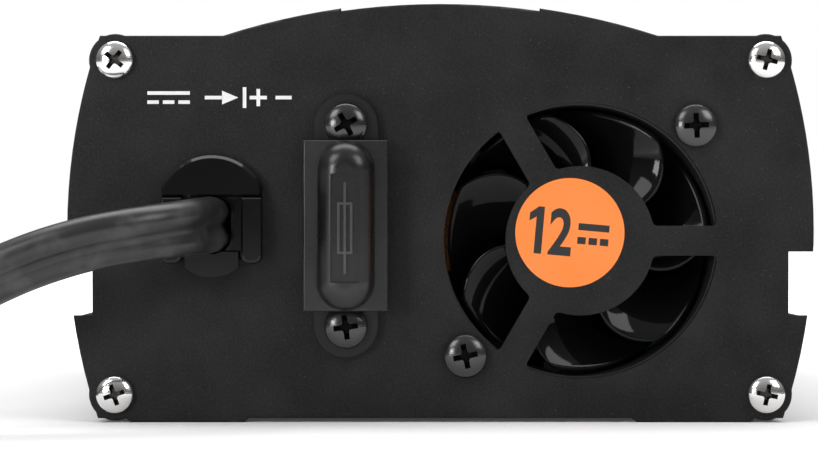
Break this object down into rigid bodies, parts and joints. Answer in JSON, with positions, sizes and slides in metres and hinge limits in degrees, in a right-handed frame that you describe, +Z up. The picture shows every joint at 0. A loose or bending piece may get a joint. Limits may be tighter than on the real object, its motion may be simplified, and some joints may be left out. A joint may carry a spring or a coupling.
{
  "type": "power inverter",
  "caption": "Small car power inverter: finned black case with a cooling fan, fuse holder and DC cord at one end and mains sockets, switch and USB port at the other.",
  "frame": {"origin": "on the ground under the centre of the case, with the cord left out", "axes": "+Z up, -Y out of the end with the fan, fuse and cord, +Y out of the end with the mains sockets, +X to the right when the fan end is faced"},
  "size_m": [0.2954, 0.2048, 0.0728],
  "materials": {
    "case_metal": "satin black anodised extrusion",
    "plate_metal": "fine textured matte black powder coat",
    "bright_steel": "bright nickel plate",
    "black_steel": "glossy black oxide",
    "steel": "plain steel",
    "spring_steel": "plated spring steel",
    "brass": "plain",
    "zinc": "plain zinc",
    "fan_plastic": "black",
    "fan_rotor_plastic": "glossy black",
    "magnet": "bonded ferrite",
    "orange_label": "orange label",
    "holder_plastic": "satin black",
    "cap_plastic": "satin black, slightly rubbery",
    "fuse_orange": "clear orange",
    "black_nylon": "glossy black",
    "cord_jacket": "satin black",
    "tie_plastic": "black",
    "plug_plastic": "satin black",
    "plug_ring": "knurled black",
    "fuse_glass": "clear glass",
    "outlet_plastic": "black",
    "switch_plastic": "black",
    "rocker_plastic": "red",
    "usb_white": "white",
    "led_green": "green lens",
    "led_red": "red lens",
    "board": "green solder mask",
    "ferrite": "dark grey",
    "copper": "enamelled copper",
    "bobbin": "brown",
    "capacitor_sleeve": "dark blue sleeve",
    "bare_aluminium": "bare",
    "chip_black": "black",
    "red_insulation": "red",
    "black_insulation": "black"
  },
  "bodies": {
    "case": {"body_tube": "case_metal", "dc_end_plate": "plate_metal", "ac_end_plate": "plate_metal", "end_plate_screws": "bright_steel", "fan_frame": "fan_plastic", "fan_sleeve_bearing": "brass", "fan_stator": "steel", "fan_driver_board": "board", "fan_screws": "black_steel", "panel_nuts": "bright_steel", "fan_hub_sticker": "orange_label", "fuse_holder": "holder_plastic", "fuse_holder_screws": "black_steel", "fuse_contacts": "brass", "cable_gland_body": "black_nylon", "cable_gland_wedge": "black_nylon", "dc_cord_inner_end": "cord_jacket", "dc_cord_lead": "cord_jacket", "dc_cord_coil": "cord_jacket", "dc_cord_tail": "cord_jacket", "dc_cord_tie": "tie_plastic", "plug_body": "plug_plastic", "plug_nose_ring": "plug_ring", "plug_cartridge_fuse": "fuse_glass", "plug_boot": "cord_jacket", "plug_fixed_contacts": "spring_steel", "plug_spring": "spring_steel", "outlet_outer": "outlet_plastic", "outlet_inner": "outlet_plastic", "outlet_contacts": "brass", "power_switch_housing": "switch_plastic", "power_switch_terminals": "brass", "usb_shell": "bright_steel", "usb_tongue": "usb_white", "usb_board": "board", "status_led_green": "led_green", "status_led_red": "led_red", "led_board": "board", "circuit_board": "board", "transformer_core": "ferrite", "transformer_winding": "copper", "transformer_feet": "bobbin", "input_capacitors": "capacitor_sleeve", "bulk_capacitor": "capacitor_sleeve", "heat_bars": "bare_aluminium", "power_transistors": "chip_black", "transistor_screws": "steel", "output_choke": "copper", "control_board": "board", "alarm_buzzer": "chip_black", "positive_lead": "red_insulation", "negative_lead": "black_insulation"},
    "fan_rotor": {"fan_impeller": "fan_rotor_plastic", "fan_magnet_ring": "magnet", "fan_shaft": "steel"},
    "switch_rocker": {"power_switch_rocker": "rocker_plastic"},
    "fuse_cover": {"fuse_cap": "cap_plastic"},
    "blade_fuse": {"blade_fuse_body": "fuse_orange", "blade_fuse_blades": "zinc"},
    "plug_tip": {"plug_tip_contact": "bright_steel"}
  },
  "joints": [
    {"name": "fan_spin", "type": "hinge", "parent": "case", "child": "fan_rotor", "pos_m": [0.0243, -0.07103, 0.0316], "axis": [0, 1, 0], "continuous": true},
    {"name": "power_switch", "type": "hinge", "parent": "case", "child": "switch_rocker", "pos_m": [0.036, 0.08227, 0.038], "axis": [1, 0, 0], "range_deg": [-20, 0]},
    {"name": "fuse_cap_pull", "type": "slide", "parent": "case", "child": "fuse_cover", "axis": [0, -1, 0], "range_m": [0, 0.036]},
    {"name": "blade_fuse_pull", "type": "slide", "parent": "case", "child": "blade_fuse", "axis": [0, -1, 0], "range_m": [0, 0.018]},
    {"name": "plug_tip_press", "type": "slide", "parent": "case", "child": "plug_tip", "axis": [0, -1, 0], "range_m": [0, 0.003], "stiffness_N_per_m": 600, "springref_m": -0.002, "deforming": ["plug_spring"]}
  ],
  "couplings": [
    {"joint": "blade_fuse_pull", "follows": "fuse_cap_pull", "ratio": 0.5}
  ]
}
